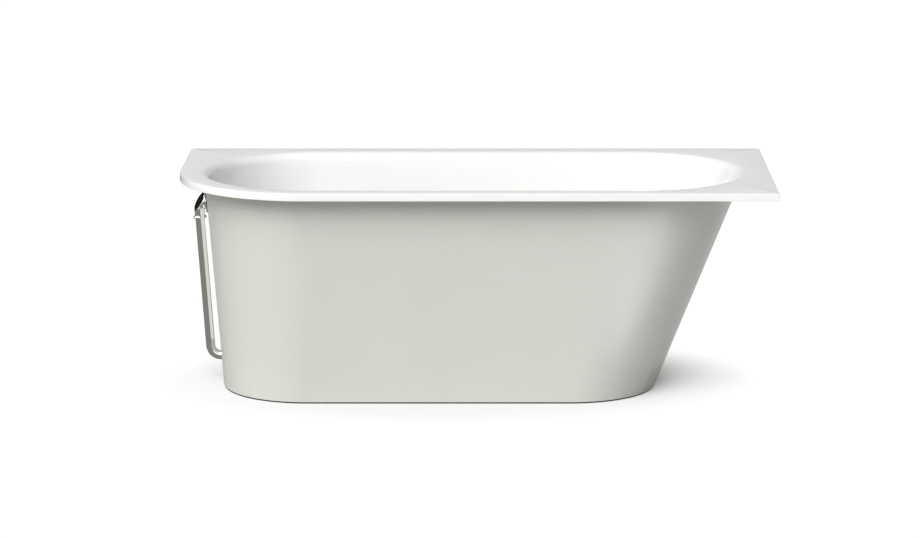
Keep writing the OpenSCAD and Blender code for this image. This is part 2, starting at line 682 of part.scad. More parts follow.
module inlet_nut() color(plastic) at_inlet() slip_nut(pipe_r);
module inlet_seal() color(dark_rubber) at_inlet() slip_seal(pipe_r);
module outlet_nut() color(plastic) at_outlet() slip_nut(waste_r);
module outlet_seal() color(dark_rubber) at_outlet() slip_seal(waste_r);

// Overflow, inside: a flat seat in the basin's wall, a gasket, a cover and its cap on legs
cap_r = 27;
cap_t = 3;
cap_stand = 6;
module overflow_gasket() color(dark_rubber) at_overflow() translate([0, 0, cover_back])
    ring(cover_r - 2, throat_r + fit, cover_gasket_t);
module overflow_cover() color(chrome) at_overflow() translate([0, 0, cover_back])
    mirror([0, 0, 1]) rotate_extrude()
        polygon([[throat_r + fit, 0], [cover_r, 0], [cover_r, 0.5 * cover_t],
            [cover_r - 0.5 * cover_t, cover_t], [throat_r + fit, cover_t]]);
module overflow_cap() color(chrome) at_overflow() translate([0, 0, cover_face])
    mirror([0, 0, 1]) {
        translate([0, 0, cap_stand]) rotate_extrude()
            polygon([[0, 0], [cap_r, 0], [cap_r, 0.6 * cap_t], [cap_r - 1.2, cap_t],
                [0, cap_t]]);
        for (a = [0, 120, 240]) rotate([0, 0, a])
            translate([throat_r + 4, 0, 0]) cylinder(h = cap_stand + cap_t / 2, r = 2);
    }

// Overflow, outside: a soft backing that follows the skirt, and the bevelled elbow
module overflow_backing() color(dark_rubber) intersection() {
    at_overflow() translate([0, 0, -backing_reach])
        ring(cover_r - 1.5, throat_r + fit, backing_reach + backing_face);
    skirt_band(overflow_z - 1.3 * cover_r, overflow_z + 1.15 * cover_r,
        -2 * backing_reach, 0);
}
neck_r = pipe_r + 1;
neck_bore = 10;
hood_wall = 2.5;
hood_top = pipe_standoff + neck_r + 1;
bevel_slope = (hood_top - elbow_face - 2) / (2 * hood_r);

// The hood ends in one flat bevel, from its lower outer tip up to the flange. This is all
// that lies under the bevel, lowered by drop.
module under_bevel(drop) rotate([90, 0, 0]) linear_extrude(4 * hood_r, center = true)
    polygon([[-3 * hood_r, -hood_r], [-3 * hood_r, hood_top - drop + 2 * hood_r * bevel_slope],
        [3 * hood_r, hood_top - drop - 4 * hood_r * bevel_slope], [3 * hood_r, -hood_r]]);
module overflow_elbow() color(chrome) at_overflow() difference() {
    union() {
        translate([0, 0, backing_face]) cylinder(h = elbow_flange_t, r = cover_r);
        translate([0, 0, cover_face + 0.5]) cylinder(h = elbow_face - cover_face - 1,
            r = throat_r);
        intersection() {
            union() {
                translate([0, 0, backing_face + 0.5]) cylinder(h = 2 * hood_top, r = hood_r);
                translate([-ring_drop, 0, pipe_standoff]) rotate([0, 90, 0])
                    cylinder(h = ring_drop, r = neck_r);
            }
            under_bevel(0);
        }
    }
    translate([0, 0, cover_face]) cylinder(h = elbow_face - cover_face, r = throat_r - 3);
    intersection() {
        translate([0, 0, elbow_face - 2]) cylinder(h = 2 * hood_top, r = hood_r - hood_wall);
        under_bevel(1.3 * hood_wall);
    }
    translate([-ring_drop - over, 0, pipe_standoff]) rotate([0, 90, 0])
        cylinder(h = ring_drop - hood_r + 7, r = neck_bore);
}
module overflow_ring() color(chrome) at_overflow()
    translate([-ring_drop, 0, pipe_standoff]) rotate([0, 90, 0]) difference() {
        union() {
            rotate_extrude() translate([ring_r - ring_h / 2, 0]) circle(ring_h / 2);
            translate([0, 0, -ring_h / 2]) cylinder(h = ring_h, r = ring_r - ring_h / 2);
        }
        translate([0, 0, -ring_h]) cylinder(h = 2 * ring_h, r = pipe_r + fit);
        cylinder(h = ring_h, r = neck_r + fit);
    }

// The pipe: down along the skirt, round the bend and in to the trap's side inlet
pipe_top_x = skirt_left(overflow_z) - pipe_standoff * cos(pipe_lean);
pipe_top_z = overflow_z - pipe_standoff * sin(pipe_lean);
bend_z = run_z + pipe_bend_r;
tangent_z = bend_z - pipe_bend_r * sin(pipe_lean);
tangent_x = pipe_top_x + (pipe_top_z - tangent_z) * tan(pipe_lean);
bend_x = tangent_x + pipe_bend_r * cos(pipe_lean);
straight_l = (pipe_top_z - tangent_z) / cos(pipe_lean) - ring_drop;
pipe_inner_end = inlet_end + socket_l;
// The pipe's rings: x and z of each middle, and the direction that the pipe runs there
pipe_stations = concat(
    [[tangent_x - straight_l * sin(pipe_lean), tangent_z + straight_l * cos(pipe_lean),
        pipe_lean - 90]],
    [for (i = [0:bend_steps]) let (t = (pipe_lean - 90) * (1 - i / bend_steps))
        [bend_x + pipe_bend_r * sin(t), bend_z - pipe_bend_r * cos(t), t]],
    [[pipe_inner_end, run_z, 0]]);
function pipe_ring(s, r) = [for (i = [0:pipe_sides - 1]) let (a = 360 * i / pipe_sides)
    [s[0] - r * cos(a) * sin(s[2]), basin_y + r * sin(a), s[1] + r * cos(a) * cos(s[2])]];

// A tube over rings of equal length, out along the outer ones and back along the inner ones
module tube(rings) {
    n = len(rings[0]);
    m = len(rings);
    polyhedron([for (l = rings) each l], [for (j = [0:m - 1], i = [0:n - 1])
        let (a = j * n + i, b = j * n + (i + 1) % n, step = (j < m - 1 ? n : n - m * n))
            each [[a, b, b + step], [a, b + step, a + step]]]);
}
module overflow_pipe() color(chrome) tube(concat(
    [for (s = pipe_stations) pipe_ring(s, pipe_r)],
    reversed([for (s = pipe_stations) pipe_ring(s, pipe_r - pipe_wall)])));

// A rubber sleeve lines the hole where the pipe goes through the skirt
sleeve_r = pipe_r + 2.5;
module sleeve_bore(r) translate([skirt_left(run_z) - 4 * skirt_t, basin_y, run_z])
    rotate([0, 90, 0]) cylinder(h = 8 * skirt_t, r = r);
module pipe_sleeve() color(dark_rubber) intersection() {
    difference() {
        sleeve_bore(sleeve_r);
        translate([-over, 0, 0]) sleeve_bore(pipe_r + fit);
        translate([over, 0, 0]) sleeve_bore(pipe_r + fit);
    }
    skirt_band(seal_h, skirt_top, 0, 2 * skirt_t);
}

basin_shell();
skirt_panel();
bond_bead();
base_seal();
rim_batten_back();
rim_batten_right();
base_board();
leg_rail(rail_x[0]);  // leg_rail_left
leg_rail(rail_x[1]);  // leg_rail_right
rail_screws();
foot_nuts();
lock_nuts();
skirt_bracket(rail_x[0]);  // skirt_bracket_left
skirt_bracket(rail_x[1]);  // skirt_bracket_right
bracket_bolts();
bracket_nuts();
foot_stem(rail_x[0], foot_y[0]);  // foot_stem_front_left
foot_stem(rail_x[1], foot_y[0]);  // foot_stem_front_right
foot_stem(rail_x[0], foot_y[1]);  // foot_stem_back_left
foot_stem(rail_x[1], foot_y[1]);  // foot_stem_back_right
foot_pad(rail_x[0], foot_y[0]);  // foot_pad_front_left
foot_pad(rail_x[1], foot_y[0]);  // foot_pad_front_right
foot_pad(rail_x[0], foot_y[1]);  // foot_pad_back_left
foot_pad(rail_x[1], foot_y[1]);  // foot_pad_back_right
wall_clip_back(-clip_x);  // wall_clip_back_left
wall_clip_back(clip_x);  // wall_clip_back_right
wall_clip_right();
drain_flange();
drain_washer();
drain_gasket();
waste_body();
plug_cartridge();
plug_cap();
plug_stem();
plug_seal();
trap_body();
trap_nut();
trap_seal();
inlet_nut();
inlet_seal();
outlet_nut();
outlet_seal();
overflow_cover();
overflow_cap();
overflow_gasket();
overflow_backing();
overflow_elbow();
overflow_ring();
overflow_pipe();
pipe_sleeve();
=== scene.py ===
# Built-in bath with a leaning skirt, an oval basin and an exposed overflow pipe.
# Metres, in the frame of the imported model: +X along the wall, +Y to the wall, +Z up.
import math

import bmesh
import bpy
from mathutils import Euler, Matrix, Vector


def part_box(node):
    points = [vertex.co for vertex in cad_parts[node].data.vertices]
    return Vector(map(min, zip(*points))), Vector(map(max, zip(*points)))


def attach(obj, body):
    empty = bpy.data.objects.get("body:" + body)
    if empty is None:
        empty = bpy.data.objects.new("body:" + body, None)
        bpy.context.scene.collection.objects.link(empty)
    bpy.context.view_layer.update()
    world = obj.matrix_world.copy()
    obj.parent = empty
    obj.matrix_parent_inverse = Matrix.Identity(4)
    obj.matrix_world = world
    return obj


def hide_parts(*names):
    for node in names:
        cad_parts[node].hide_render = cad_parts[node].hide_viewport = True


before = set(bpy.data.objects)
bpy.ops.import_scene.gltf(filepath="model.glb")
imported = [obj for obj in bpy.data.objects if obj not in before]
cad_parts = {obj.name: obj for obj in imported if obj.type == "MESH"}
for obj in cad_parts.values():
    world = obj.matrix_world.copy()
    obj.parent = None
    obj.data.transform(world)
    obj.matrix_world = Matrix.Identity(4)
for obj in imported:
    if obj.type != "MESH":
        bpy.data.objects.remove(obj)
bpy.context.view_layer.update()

# Camera. A long lens stands in front of the bath, a little above the rim, and looks
# slightly down. The picture's middle lies a little to the left of the lens's own axis.
camera_place = Vector((0.0445, -9.7188, 2.3379))
camera_tilt = 78.32
camera_lens, camera_film = 133.71, 36
camera_shift = -0.0327
camera_sight = 100

camera_data = bpy.data.cameras.new("camera")
camera_data.lens = camera_lens
camera_data.sensor_width = camera_film
camera_data.shift_x = camera_shift
camera_data.clip_end = camera_sight
camera = bpy.data.objects.new("camera", camera_data)
camera.location = camera_place
camera.rotation_euler = (math.radians(camera_tilt), 0, 0)
bpy.context.scene.collection.objects.link(camera)
bpy.context.scene.camera = camera
bpy.context.scene.view_settings.view_transform = "Standard"

# Studio. A pale floor runs out to a white backdrop, which the camera and the gloss see as
# white; from below it is clear. One large, far, soft lamp lights the front from the left,
# and low ones fill the sides and the back. Glowing sheets and cards show only in chrome and
# gloss and light nothing: painted reflections, and painted highlights on the lacquer and
# pipe.
room_light = 0.03
floor_reach = 40
floor_glow = 1.05
# The seen floor near the bath is painted grey: a painted shade round its foot.
floor_bounce, floor_near_shade = 0.60, 0.80
shadow_middle, shadow_reach = (-0.08, 0.0, 0.0), (1.0, 0.62, 1.0)
fade_from, fade_to = 0.46, 1.0

# Each lamp's azimuth, elevation and spread in degrees, and its share of the light.
lamps = {"key_lamp": (-20, 45, 50, 0.96), "left_lamp": (-65, 35, 30, 0.13),
         "low_left_lamp": (-90, 12, 30, 0.11), "low_lamp": (-30, 12, 30, 0.06),
         "low_right_lamp": (30, 12, 30, 0.04), "back_lamp": (170, 10, 40, 0.30)}
lamp_distance = 4

# Each sheet's middle, its turns about X and Y in degrees, its size and the colour it glows
# with, which paints its reflection or highlight.
reflection_sheets = {"grey_reflection_sheet": ((-2.7, -1.25, 0.001), (0, 0), (6.6, 9.5), (0.262, 0.250, 0.230)),
          "right_highlight_card": ((0.86, -0.95, 0.002), (0, 0), (0.6, 0.9), (4.0, 4.0, 4.0)),
          "rear_reflection_sheet": ((0, 3.5, 2.0), (90, 0), (10, 4), (0.64, 0.64, 0.64)),
          "dark_reflection_flag": ((-3.3, 3.4, 1.6), (90, 0), (3.4, 3.2), (0.01, 0.01, 0.01)),
          "pipe_highlight_card": ((-0.7665, -0.0265, 0.32), (0, -95.2), (0.40, 0.037),
                        (0.82, 0.81, 0.78))}


def add_node(tree, kind, **settings):
    """A node with its own settings; what names a socket sets that socket."""
    node = tree.nodes.new(kind)
    for name, value in settings.items():
        if hasattr(node, name):
            setattr(node, name, value)
        else:
            node.inputs[name.replace("_", " ")].default_value = value
    return node


def seen_rays(tree):
    """1 where the camera, a reflection or glass looks at the backdrop, else 0."""
    path = add_node(tree, "ShaderNodeLightPath")
    gloss = add_node(tree, "ShaderNodeMath", operation="MAXIMUM")
    glass = add_node(tree, "ShaderNodeMath", operation="MAXIMUM")
    tree.links.new(path.outputs["Is Camera Ray"], gloss.inputs[0])
    tree.links.new(path.outputs["Is Glossy Ray"], gloss.inputs[1])
    tree.links.new(gloss.outputs[0], glass.inputs[0])
    tree.links.new(path.outputs["Is Transmission Ray"], glass.inputs[1])
    return glass.outputs[0]


def bare_paint(name):
    """A material with no shader yet, its node tree and the socket for its surface."""
    paint = bpy.data.materials.new(name)
    paint.use_nodes = True
    tree = paint.node_tree
    tree.nodes.remove(tree.nodes["Principled BSDF"])
    return paint, tree, tree.nodes["Material Output"].inputs["Surface"]


def stage_sheet(name, size, matrix, paint):
    """A flat sheet of the studio, in its place."""
    bm = bmesh.new()
    bmesh.ops.create_grid(bm, x_segments=1, y_segments=1, size=0.5,
                          matrix=matrix @ Matrix.Diagonal((*size, 1, 1)))
    mesh = bpy.data.meshes.new(name)
    bm.to_mesh(mesh)
    bm.free()
    mesh.materials.append(paint)
    sheet = bpy.data.objects.new(name, mesh)
    bpy.context.scene.collection.objects.link(sheet)
    return sheet


world = bpy.data.worlds.new("studio")
world.use_nodes = True
sky = world.node_tree
backdrop = sky.nodes["Background"]
backdrop.inputs["Color"].default_value = (1, 1, 1, 1)
strength = add_node(sky, "ShaderNodeMapRange", To_Min=room_light, To_Max=1.0)
sky.links.new(seen_rays(sky), strength.inputs["Value"])
sky.links.new(strength.outputs["Result"], backdrop.inputs["Strength"])
bpy.context.scene.world = world

# Matt surfaces get the light of the shaded floor. What is seen is the lit floor, painted a
# paler grey than the white beyond, which turns white with its distance from the shadow's
# middle, measured as an oval: round the bath it shows the real shadows and a painted shade.
floor_paint, tree, surface = bare_paint("floor_paint")
place = add_node(tree, "ShaderNodeTexCoord")
oval = add_node(tree, "ShaderNodeMapping", vector_type="TEXTURE")
oval.inputs["Location"].default_value = shadow_middle
oval.inputs["Scale"].default_value = shadow_reach
distance = add_node(tree, "ShaderNodeVectorMath", operation="LENGTH")
fade = add_node(tree, "ShaderNodeMapRange", From_Min=fade_from, From_Max=fade_to,
                interpolation_type="SMOOTHSTEP")
tree.links.new(place.outputs["Object"], oval.inputs["Vector"])
tree.links.new(oval.outputs["Vector"], distance.inputs[0])
tree.links.new(distance.outputs["Value"], fade.inputs["Value"])

# Grey paint under the real light and shadows: a painted shade round the bath's foot.
lit = add_node(tree, "ShaderNodeBsdfDiffuse", Color=(*[floor_near_shade] * 3, 1))
white = add_node(tree, "ShaderNodeEmission", Color=(1, 1, 1, 1), Strength=floor_glow)
pale = add_node(tree, "ShaderNodeMixShader")
tree.links.new(fade.outputs["Result"], pale.inputs[0])
tree.links.new(lit.outputs[0], pale.inputs[1])
tree.links.new(white.outputs[0], pale.inputs[2])

shaded = add_node(tree, "ShaderNodeBsdfDiffuse", Color=(*[floor_bounce] * 3, 1))
seen = add_node(tree, "ShaderNodeMixShader")
tree.links.new(seen_rays(tree), seen.inputs[0])
tree.links.new(shaded.outputs[0], seen.inputs[1])
tree.links.new(pale.outputs[0], seen.inputs[2])

side = add_node(tree, "ShaderNodeNewGeometry")
clear = add_node(tree, "ShaderNodeBsdfTransparent")
one_way = add_node(tree, "ShaderNodeMixShader")
tree.links.new(side.outputs["Backfacing"], one_way.inputs[0])
tree.links.new(seen.outputs[0], one_way.inputs[1])
tree.links.new(clear.outputs[0], one_way.inputs[2])
tree.links.new(one_way.outputs[0], surface)
stage_sheet("floor", (floor_reach, floor_reach), Matrix.Identity(4), floor_paint)

# Each sheet glows in its colour and is seen only in reflections: a painted reflection or a
# painted highlight.
for name, (middle, (turn_x, turn_y), size, colour) in reflection_sheets.items():
    paint, tree, surface = bare_paint(name)
    glow = add_node(tree, "ShaderNodeEmission", Color=(*colour, 1), Strength=1)
    tree.links.new(glow.outputs[0], surface)
    turn = Euler((math.radians(turn_x), math.radians(turn_y), 0)).to_matrix().to_4x4()
    sheet = stage_sheet(name, size, Matrix.Translation(middle) @ turn, paint)
    sheet.visible_camera = False
    sheet.visible_diffuse = False
    sheet.visible_shadow = False
    sheet.visible_transmission = False

for name, (azimuth, elevation, spread, share) in lamps.items():
    data = bpy.data.lights.new(name, "SUN")
    data.angle = math.radians(spread)
    data.energy = share * math.pi
    lamp = bpy.data.objects.new(name, data)
    across, up = math.radians(azimuth), math.radians(elevation)
    aim = Vector((math.cos(up) * math.sin(across), -math.cos(up) * math.cos(across),
                  math.sin(up)))
    lamp.location = lamp_distance * aim
    lamp.rotation_euler = aim.to_track_quat("Z", "Y").to_euler()
    lamp.visible_glossy = name != "back_lamp"
    bpy.context.scene.collection.objects.link(lamp)

# Shell. The rim and the basin are one sheet of white acrylic, drawn down in a mould and
# backed underneath with sprayed glass fibre. Its face has a satin-smooth gloss, with a
# faint waviness from the mould.
rim_strips = {"front": 0.044, "back": 0.054, "left": 0.060, "right": 0.066}
rim_turn, rim_small_turn = 0.375, 0.002
rim_lip = 0.022
rim_soft, lip_soft = 0.0015, 0.0006
shell_sheet = 0.008
opening_soft = 0.025
basin_deep = 0.435
wall_lean = {"side": math.tan(math.radians(4.6)), "left": math.tan(math.radians(5.7)),
             "right": math.tan(math.radians(23.8))}
floor_curve, floor_curve_right = 0.080, 0.120
floor_fall = 0.006
drain_low, drain_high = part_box("drain_flange")
drain_middle = (drain_low + drain_high) / 2
drain_seat, drain_seat_deep, drain_hole = 0.036, 0.003, 0.026
seat_soft, seat_ease = 0.0012, 0.0003
round_steps, drain_steps = 48, 64
corner_steps, edge_steps, wall_steps, curve_steps = 4, 8, 6, 14
face_side, back_side = 0, 1
noise_span = (0.3, 0.7)
shell_low, shell_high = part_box("basin_shell")
basin_y = (rim_strips["front"] - rim_strips["back"]) / 2
opening_turn = (shell_high.y - shell_low.y - rim_strips["front"] - rim_strips["back"]) / 2


def object_noise(tree, scale, detail=2.0, kind="ShaderNodeTexNoise", stretch=(1, 1, 1)):
    """Noise that is fixed to the object's own coordinates, drawn out where stretch says."""
    place = add_node(tree, "ShaderNodeTexCoord")
    shape = add_node(tree, "ShaderNodeMapping")
    shape.inputs["Scale"].default_value = stretch
    noise = add_node(tree, kind, Scale=scale, Detail=detail)
    tree.links.new(place.outputs["Object"], shape.inputs["Vector"])
    tree.links.new(shape.outputs["Vector"], noise.inputs["Vector"])
    return noise.outputs[0]


def new_finish(name, colours, colour_noise, roughness, rough_noise, relief, relief_noise,
               **sockets):
    """A material that is never quite even. Its colour and its roughness each vary between
    two values, and its surface by a relief in metres, each after a noise of its own."""
    material = bpy.data.materials.new(name)
    material.use_nodes = True
    tree = material.node_tree
    shader = tree.nodes["Principled BSDF"]
    for socket, value in sockets.items():
        shader.inputs[socket.replace("_", " ")].default_value = value

    ramp = add_node(tree, "ShaderNodeValToRGB")
    for stop, position, colour in zip(ramp.color_ramp.elements, noise_span, colours):
        stop.position = position
        stop.color = (*colour, 1)
    tree.links.new(object_noise(tree, **colour_noise), ramp.inputs["Fac"])
    tree.links.new(ramp.outputs["Color"], shader.inputs["Base Color"])

    spread = add_node(tree, "ShaderNodeMapRange", From_Min=noise_span[0],
                      From_Max=noise_span[1], To_Min=roughness[0], To_Max=roughness[1])
    tree.links.new(object_noise(tree, **rough_noise), spread.inputs["Value"])
    tree.links.new(spread.outputs["Result"], shader.inputs["Roughness"])

    bump = add_node(tree, "ShaderNodeBump", Strength=1.0, Distance=relief)
    tree.links.new(object_noise(tree, **relief_noise), bump.inputs["Height"])
    tree.links.new(bump.outputs["Normal"], shader.inputs["Normal"])
    return material


acrylic = new_finish(
    "acrylic", Coat_Weight=0.25, Coat_Roughness=0.05,
    colours=((0.885, 0.885, 0.875), (0.905, 0.905, 0.895)), colour_noise=dict(scale=2.5),
    roughness=(0.13, 0.19), rough_noise=dict(scale=9),
    relief=0.00002, relief_noise=dict(scale=26, detail=1))
glass_fibre = new_finish(
    "glass_fibre", Specular_IOR_Level=0.4,
    colours=((0.56, 0.55, 0.49), (0.72, 0.71, 0.66)),
    colour_noise=dict(scale=60, detail=6, stretch=(1, 0.25, 1)),
    roughness=(0.45, 0.75), rough_noise=dict(scale=30, detail=4),
    relief=0.0004, relief_noise=dict(scale=160, detail=5, stretch=(0.3, 1, 1)))


def arc(x, y, radius, start, end, steps=round_steps):
    """Points of a level arc round x, y, from start to end in degrees."""
    turns = [math.radians(start + (end - start) * i / steps) for i in range(steps + 1)]
    return [(x + radius * math.cos(t), y + radius * math.sin(t)) for t in turns]


def circle(x, y, radius, steps):
    """Points of a level circle round x, y."""
    return arc(x, y, radius, 0, 360 - 360 / steps, steps - 1)


def quarter(steps):
    """The angles of a quarter turn, from 0 to 90 degrees."""
    return [math.radians(90 * i / steps) for i in range(steps + 1)]


def basin_outline(depth, inset, inset_right):
    """The oval at a depth below the rim, as far in as its walls lean there."""
    radius = opening_turn - inset - wall_lean["side"] * depth
    left = shell_low.x + rim_strips["left"] + inset + wall_lean["left"] * depth + radius
    right = (shell_high.x - rim_strips["right"] - inset_right - wall_lean["right"] * depth
             - radius)
    return arc(right, basin_y, radius, -90, 90) + arc(left, basin_y, radius, 90, 270)


def basin_profile(sheet):
    """Depth and insets from the opening's soft edge down the wall and round to the floor,
    on the face or, with the sheet's thickness, on the back."""
    soft = opening_soft - sheet
    bend, bend_right = floor_curve + sheet, floor_curve_right + sheet
    steep = basin_deep - floor_curve
    wall = [opening_soft + (steep - opening_soft) * i / wall_steps
            for i in range(1, wall_steps)]
    return ([(opening_soft - soft * math.cos(t), soft * math.sin(t), soft * math.sin(t))
             for t in quarter(edge_steps)]
            + [(depth, soft, soft) for depth in wall]
            + [(steep + bend * math.sin(t),
                opening_soft + floor_curve - bend * math.cos(t),
                opening_soft + floor_curve_right - bend_right * math.cos(t))
               for t in quarter(curve_steps)])


def fallen(depth):
    """The height at x of a ring at that depth, with the floor's fall to the drain."""
    share = depth / basin_deep
    return lambda x: shell_high.z - depth + share * floor_fall * (x - drain_middle.x)


def rim_outline(inset):
    """The rim in plan: three small corners and one large round one at the front left."""
    x0, x1 = shell_low.x + inset, shell_high.x - inset
    y0, y1 = shell_low.y + inset, shell_high.y - inset
    small = rim_small_turn
    large = rim_turn - inset
    return (arc(x1 - small, y0 + small, small, -90, 0, corner_steps)
            + arc(x1 - small, y1 - small, small, 0, 90, corner_steps)
            + arc(x0 + small, y1 - small, small, 90, 180, corner_steps)
            + arc(x0 + large, y0 + large, large, 180, 270))


def loop(bm, corners):
    """A closed loop of edges."""
    verts = [bm.verts.new(corner) for corner in corners]
    return [bm.edges.new(pair) for pair in zip(verts, verts[1:] + verts[:1])]


def ring(bm, points, height):
    """A closed loop over points in plan; height is a number or a function of x."""
    level = height if callable(height) else lambda x: height
    return loop(bm, [(x, y, level(x)) for x, y in points])


def drain_ring(bm, radius, height):
    """A ring round the drain."""
    return ring(bm, circle(drain_middle.x, basin_y, radius, drain_steps), height)


def skin(bm, rings, side=face_side):
    """Faces between each ring and the next, on the face side or the back side."""
    for first, second in zip(rings, rings[1:]):
        for face in bmesh.ops.bridge_loops(bm, edges=first + second)["faces"]:
            face.material_index = side


def fill(bm, *rings, side=face_side):
    """Flat faces inside a ring, or between it and the ring that lies inside it."""
    made = bmesh.ops.triangle_fill(bm, use_beauty=True, edges=[e for r in rings for e in r])
    for piece in made["geom"]:
        if isinstance(piece, bmesh.types.BMFace):
            piece.material_index = side


def soften(mesh, sharp):
    """Smooth shading, apart from edges that turn more than sharp degrees."""
    mesh.shade_smooth()
    mesh.set_sharp_from_angle(angle=math.radians(sharp))


def finished(name, bm, *materials, sharp=35):
    """The bmesh as an object at the origin, in its finish."""
    bmesh.ops.recalc_face_normals(bm, faces=bm.faces)
    mesh = bpy.data.meshes.new(name)
    bm.to_mesh(mesh)
    bm.free()
    soften(mesh, sharp)
    for material in materials:
        mesh.materials.append(material)
    piece = bpy.data.objects.new(name, mesh)
    bpy.context.scene.collection.objects.link(piece)
    return piece


bm = bmesh.new()
top = shell_high.z
lip_foot = top - rim_lip
floor_level = fallen(basin_deep)
seat_z = floor_level(drain_middle.x) - drain_seat_deep
inside = [ring(bm, basin_outline(*step), fallen(step[0])) for step in basin_profile(0)]
outside = [ring(bm, basin_outline(*step), top - step[0])
           for step in basin_profile(shell_sheet)]
rim_face = ([ring(bm, rim_outline(rim_soft * (1 - math.sin(t))),
                  top - rim_soft * (1 - math.cos(t))) for t in quarter(corner_steps)]
            + [ring(bm, rim_outline(inset), height) for inset, height in (
                (0, lip_foot + lip_soft), (lip_soft, lip_foot),
                (shell_sheet - lip_soft, lip_foot), (shell_sheet, lip_foot + lip_soft),
                (shell_sheet, top - shell_sheet))])
seat = [drain_ring(bm, drain_seat + seat_soft, floor_level),
        drain_ring(bm, drain_seat + seat_ease, lambda x: floor_level(x) - seat_ease),
        drain_ring(bm, drain_seat, lambda x: floor_level(x) - seat_soft),
        drain_ring(bm, drain_seat, seat_z), drain_ring(bm, drain_hole, seat_z),
        drain_ring(bm, drain_hole, top - basin_deep - shell_sheet)]
skin(bm, inside)
skin(bm, outside, back_side)
skin(bm, rim_face[:-2])
skin(bm, rim_face[-3:], back_side)
skin(bm, seat[:4])
skin(bm, seat[4:])
fill(bm, rim_face[0], inside[0])
fill(bm, rim_face[-1], outside[0], side=back_side)
fill(bm, inside[-1], seat[0])
fill(bm, seat[3], seat[4])
fill(bm, outside[-1], seat[-1], side=back_side)
bath_shell = finished("bath_shell", bm, acrylic, glass_fibre)

# Skirt. One moulded panel, lacquered in satin grey-green, leans in to the floor and turns
# round both front corners. It is bonded to the basin below the rim and open at the wall.
# It is bored for the overflow and its pipe, and so is the shell once both are there.
skirt_lean = {"left": math.tan(math.radians(4.8)), "right": math.tan(math.radians(22.3)),
              "front": math.tan(math.radians(1.85))}
skirt_turn_top, skirt_turn_foot = 0.310, 0.250
skirt_sheet, skirt_soft = 0.004, 0.0006
skirt_levels = (0.15, 0.30, 0.45)
notch_reach, notch_gap = 0.010, 0.002
overflow_drop, pipe_lean = 0.087, 3.75
throat_hole = 0.022
throat_cut, sleeve_cut = 0.02, 0.03
inner_seat, inner_seat_face, inner_seat_cut = 0.036, -0.01475, 0.013
wall_cut = 0.024
overlap = 0.001
weld = 1e-5
rod_sides = 64
skirt_low, skirt_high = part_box("skirt_panel")
sleeve_low, sleeve_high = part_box("pipe_sleeve")

lacquer = new_finish(
    "lacquer", Specular_IOR_Level=0.42,
    colours=((0.600, 0.620, 0.567), (0.614, 0.634, 0.581)), colour_noise=dict(scale=3),
    roughness=(0.34, 0.40), rough_noise=dict(scale=14),
    relief=0.000012, relief_noise=dict(scale=420))


def stands_for(piece, slot, *nodes, body="root"):
    """The piece takes the place of those solids, on their body."""
    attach(piece, body)
    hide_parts(*nodes)


def skirt_outline(height, inset, back):
    """The panel in plan at a height, inset from its face, from the wall round to the wall."""
    drop = skirt_high.z - height
    x0 = skirt_low.x + skirt_lean["left"] * drop
    x1 = skirt_high.x - skirt_lean["right"] * drop
    y0 = skirt_low.y + skirt_lean["front"] * drop
    turn = skirt_turn_foot + (skirt_turn_top - skirt_turn_foot) * height / top
    return ([(x0 + inset, back)]
            + arc(x0 + turn, y0 + turn, turn - inset, 180, 270)
            + arc(x1 - turn, y0 + turn, turn - inset, 270, 360)
            + [(x1 - inset, back)])


def skirt_band(bm, levels, back, inner=None):
    """A closed band round the skirt through (height, inset) pairs, with flat ends. The
    strip of the number inner lies on its back side."""
    chains = []
    for height, inset in levels:
        verts = [bm.verts.new((x, y, height)) for x, y in skirt_outline(height, inset, back)]
        chains.append([bm.edges.new(pair) for pair in zip(verts, verts[1:])])
    for i, (first, second) in enumerate(zip(chains, chains[1:] + chains[:1])):
        for face in bmesh.ops.bridge_loops(bm, edges=first + second)["faces"]:
            face.material_index = back_side if i == inner else face_side
    bmesh.ops.holes_fill(bm, edges=[e for e in bm.edges if e.is_boundary])


def shaped(piece, operation, *others, sharp=35):
    """Joins each of the others to the piece or cuts it away, and removes it."""
    for other in others:
        modifier = piece.modifiers.new("shape", "BOOLEAN")
        modifier.operation = operation
        modifier.solver = "EXACT"
        modifier.object = other
        graph = bpy.context.evaluated_depsgraph_get()
        mesh = bpy.data.meshes.new_from_object(piece.evaluated_get(graph))
        piece.modifiers.clear()
        piece.data = mesh
        bpy.data.objects.remove(other)
        bm = bmesh.new()
        bm.from_mesh(mesh)
        bmesh.ops.remove_doubles(bm, verts=bm.verts, dist=weld)
        bm.to_mesh(mesh)
        bm.free()
    soften(piece.data, sharp)
    return piece


def rod(place, radius, start, end, sides=rod_sides):
    """A plain round rod along place's own z axis, to cut with or to join on."""
    bm = bmesh.new()
    bmesh.ops.create_cone(bm, cap_ends=True, segments=sides, radius1=radius,
                          radius2=radius, depth=end - start,
                          matrix=place @ Matrix.Translation((0, 0, (start + end) / 2)))
    return finished("rod", bm)


def brick(low, high):
    """A plain block between two corners, to cut with."""
    bm = bmesh.new()
    low, high = Vector(low), Vector(high)
    bmesh.ops.create_cube(bm, size=1, matrix=Matrix.Translation((low + high) / 2)
                          @ Matrix.Diagonal((*(high - low), 1)))
    return finished("brick", bm)


overflow_z = top - overflow_drop
overflow_place = (Matrix.Translation((skirt_outline(overflow_z, 0, 0)[0][0], basin_y,
                                      overflow_z))
                  @ Matrix.Rotation(math.radians(-90 - pipe_lean), 4, "Y"))
sleeve_place = (Matrix.Translation((sleeve_low + sleeve_high) / 2)
                @ Matrix.Rotation(math.radians(90), 4, "Y"))
sleeve_hole = (sleeve_high.z - sleeve_low.z) / 2

